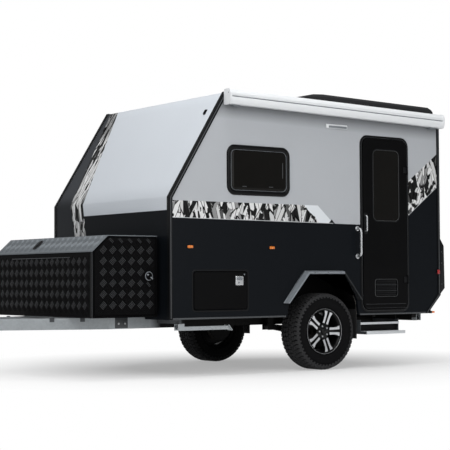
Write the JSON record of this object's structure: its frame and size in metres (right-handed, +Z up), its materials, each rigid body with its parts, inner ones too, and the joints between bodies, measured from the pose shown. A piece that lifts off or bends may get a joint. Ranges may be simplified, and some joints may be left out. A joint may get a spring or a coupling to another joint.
{
  "type": "single-axle off-road travel trailer",
  "caption": "Compact single-axle travel trailer with a sloped front, tread-plate toolbox, entry door, rolled awning and lifting roof lid, parked on its jockey wheel.",
  "frame": {"origin": "centre of the tow ball in the coupling, 0.560 m above the ground", "axes": "+X to the rear, +Y to the right side, +Z up; the entry door and awning are on the -Y side"},
  "size_m": [5.3246, 2.305, 2.7833],
  "materials": {
    "galvanised_steel": "hot-dip galvanised",
    "zinc_plate": "bright zinc plate",
    "black_rubber": "moulded",
    "dark_board": "phenolic-faced plywood",
    "body_panel": "satin gel coat over a sandwich panel",
    "black_trim": "satin black",
    "tinted_pane": "dark tinted acrylic",
    "door_black": "satin black",
    "silver_grey": "satin silver grey",
    "white_aluminium": "gloss white powder coat",
    "dark_moulding": "satin dark grey moulding",
    "skirt_fabric": "coated weave",
    "tread_plate": "black powder-coated tread plate",
    "black_steel": "black chassis paint",
    "cast_drum": "machined casting",
    "tyre_rubber": "all-terrain tyre",
    "alloy": "machined faces over gloss black",
    "tank_plastic": "black polyethylene",
    "step_aluminium": "mill finish extrusion",
    "polished_tube": "satin stainless tube",
    "amber_lens": "moulded lens",
    "red_lens": "moulded lens"
  },
  "bodies": {
    "trailer": {"chassis_frame": "galvanised_steel", "cross_members": "galvanised_steel", "suspension_brackets": "galvanised_steel", "drawbar": "galvanised_steel", "coupling": "zinc_plate", "jockey_clamp": "zinc_plate", "floor_panel": "dark_board", "wall_left": "body_panel", "wall_right": "body_panel", "front_panel": "body_panel", "slope_panel": "body_panel", "roof_panel": "body_panel", "rear_panel": "body_panel", "rear_cut_panel": "body_panel", "edge_trims": "black_trim", "window_frames": "black_trim", "window_panes": "tinted_pane", "door_frame": "black_trim", "arch_flares": "silver_grey", "wheel_boxes": "dark_board", "awning_cassette": "white_aluminium", "poptop_skirt": "skirt_fabric", "toolbox_shell": "tread_plate", "trailing_arms": "black_steel", "coil_springs": "black_steel", "shock_absorbers": "black_steel", "backing_plates": "black_steel", "mudflaps": "black_rubber", "water_tank": "tank_plastic", "step_runners": "black_steel", "grab_handle": "polished_tube", "marker_lamps": "amber_lens", "rear_bumper": "black_trim", "rear_lamps": "red_lens", "leg_brackets": "galvanised_steel"},
    "wheel_left": {"tyre_left": "tyre_rubber", "rim_left": "alloy", "drum_left": "cast_drum"},
    "wheel_right": {"tyre_right": "tyre_rubber", "rim_right": "alloy", "drum_right": "cast_drum"},
    "door": {"door_leaf": "door_black", "door_window": "tinted_pane", "door_lock": "black_trim"},
    "hatch_left": {"hatch_left": "door_black"},
    "hatch_right": {"hatch_right": "door_black"},
    "toolbox_lid": {"toolbox_lid": "tread_plate"},
    "toolbox_door_left": {"toolbox_door_left": "tread_plate"},
    "toolbox_door_right": {"toolbox_door_right": "tread_plate"},
    "poptop": {"poptop_lid": "dark_moulding"},
    "leg_front_left": {"leg_front_left": "galvanised_steel"},
    "leg_front_right": {"leg_front_right": "galvanised_steel"},
    "leg_rear_left": {"leg_rear_left": "galvanised_steel"},
    "leg_rear_right": {"leg_rear_right": "galvanised_steel"},
    "step": {"step_treads": "step_aluminium"},
    "jockey_leg": {"jockey_inner": "zinc_plate"},
    "jockey_fork": {"jockey_fork": "zinc_plate"},
    "jockey_wheel": {"jockey_wheel": "black_rubber"}
  },
  "joints": [
    {"name": "wheel_left_spin", "type": "hinge", "parent": "trailer", "child": "wheel_left", "pos_m": [3.609, -0.907, -0.175], "axis": [0, 1, 0], "continuous": true},
    {"name": "wheel_right_spin", "type": "hinge", "parent": "trailer", "child": "wheel_right", "pos_m": [3.609, 0.907, -0.175], "axis": [0, 1, 0], "continuous": true},
    {"name": "door_hinge", "type": "hinge", "parent": "trailer", "child": "door", "pos_m": [4.716, -1.086, 0.916], "axis": [0, 0, 1], "range_deg": [0, 165]},
    {"name": "hatch_left_hinge", "type": "hinge", "parent": "trailer", "child": "hatch_left", "pos_m": [1.968, -1.074, 0.2455], "axis": [0, 0, -1], "range_deg": [0, 120]},
    {"name": "hatch_right_hinge", "type": "hinge", "parent": "trailer", "child": "hatch_right", "pos_m": [1.968, 1.074, 0.2455], "axis": [0, 0, 1], "range_deg": [0, 120]},
    {"name": "toolbox_lid_hinge", "type": "hinge", "parent": "trailer", "child": "toolbox_lid", "pos_m": [1.656, 0, 0.761], "axis": [0, 1, 0], "range_deg": [0, 80]},
    {"name": "toolbox_door_left_hinge", "type": "hinge", "parent": "trailer", "child": "toolbox_door_left", "pos_m": [0.973, -0.939, 0.29], "axis": [0, 0, -1], "range_deg": [0, 110]},
    {"name": "toolbox_door_right_hinge", "type": "hinge", "parent": "trailer", "child": "toolbox_door_right", "pos_m": [0.973, 0.939, 0.29], "axis": [0, 0, 1], "range_deg": [0, 110]},
    {"name": "poptop_lift", "type": "slide", "parent": "trailer", "child": "poptop", "axis": [0, 0, 1], "range_m": [0, 0.35]},
    {"name": "leg_front_left_fold", "type": "hinge", "parent": "trailer", "child": "leg_front_left", "pos_m": [1.87, -0.98, -0.102], "axis": [0, 1, 0], "range_deg": [0, 50]},
    {"name": "leg_front_right_fold", "type": "hinge", "parent": "trailer", "child": "leg_front_right", "pos_m": [1.87, 0.98, -0.102], "axis": [0, 1, 0], "range_deg": [0, 50]},
    {"name": "leg_rear_left_fold", "type": "hinge", "parent": "trailer", "child": "leg_rear_left", "pos_m": [4.922, -0.98, -0.072], "axis": [-1, 0, 0], "range_deg": [0, 50]},
    {"name": "leg_rear_right_fold", "type": "hinge", "parent": "trailer", "child": "leg_rear_right", "pos_m": [4.922, 0.98, -0.072], "axis": [1, 0, 0], "range_deg": [0, 50]},
    {"name": "step_slide", "type": "slide", "parent": "trailer", "child": "step", "axis": [0, -1, 0], "range_m": [0, 0.2]},
    {"name": "jockey_wind", "type": "slide", "parent": "trailer", "child": "jockey_leg", "axis": [0, 0, 1], "range_m": [0, 0.16]},
    {"name": "jockey_swivel", "type": "hinge", "parent": "jockey_leg", "child": "jockey_fork", "pos_m": [0.33, 0, -0.329], "axis": [0, 0, 1], "continuous": true},
    {"name": "jockey_spin", "type": "hinge", "parent": "jockey_fork", "child": "jockey_wheel", "pos_m": [0.385, 0, -0.45], "axis": [0, 1, 0], "continuous": true}
  ]
}
